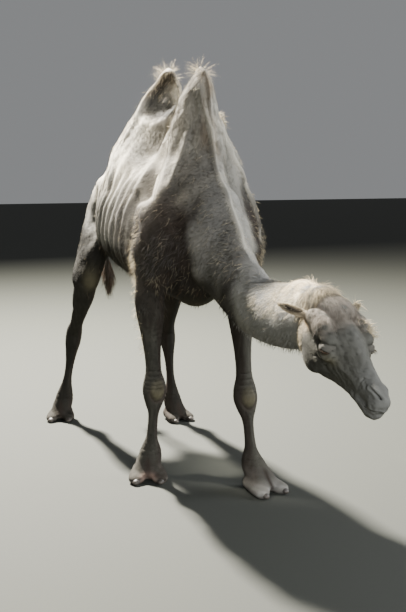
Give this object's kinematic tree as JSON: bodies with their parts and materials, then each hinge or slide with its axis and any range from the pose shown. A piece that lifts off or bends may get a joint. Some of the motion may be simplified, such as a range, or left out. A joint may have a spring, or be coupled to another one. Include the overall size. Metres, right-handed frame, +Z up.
{
  "type": "bactrian camel",
  "caption": "Still life-size model of a thin, shedding adult Bactrian camel that stands with its neck stretched low and forwards.",
  "frame": {"origin": "on the ground under the middle of the bounding box", "axes": "+Z up, -Y forwards (the way the camel walks), +X the camel's left"},
  "size_m": [0.8842, 3.2388, 2.1596],
  "materials": {
    "coat": "short shed-out coat, matt, pale grey to cream",
    "wool": "remains of the long winter wool, matt, straw-coloured",
    "leg_coat": "short dark grey-brown coat, matt",
    "foot_skin": "dry calloused skin with very short hair",
    "horn": "worn horn of the toenails",
    "eye": "wet, very dark brown"
  },
  "bodies": {
    "root": {"trunk": "coat", "neck_lower": "coat", "neck_upper": "coat", "head": "coat", "ear_left": "coat", "ear_right": "coat", "hump_front": "wool", "hump_rear": "wool", "tail": "wool", "leg_fore_left_upper": "leg_coat", "leg_fore_left_lower": "leg_coat", "leg_fore_left_foot": "foot_skin", "leg_fore_right_upper": "leg_coat", "leg_fore_right_lower": "leg_coat", "leg_fore_right_foot": "foot_skin", "leg_hind_left_upper": "leg_coat", "leg_hind_left_lower": "leg_coat", "leg_hind_left_foot": "foot_skin", "leg_hind_right_upper": "leg_coat", "leg_hind_right_lower": "leg_coat", "leg_hind_right_foot": "foot_skin", "toenail_fore_left_inner": "horn", "toenail_fore_left_outer": "horn", "toenail_fore_right_inner": "horn", "toenail_fore_right_outer": "horn", "toenail_hind_left_inner": "horn", "toenail_hind_left_outer": "horn", "toenail_hind_right_inner": "horn", "toenail_hind_right_outer": "horn", "eye_left": "eye", "eye_right": "eye"}
  },
  "joints": []
}
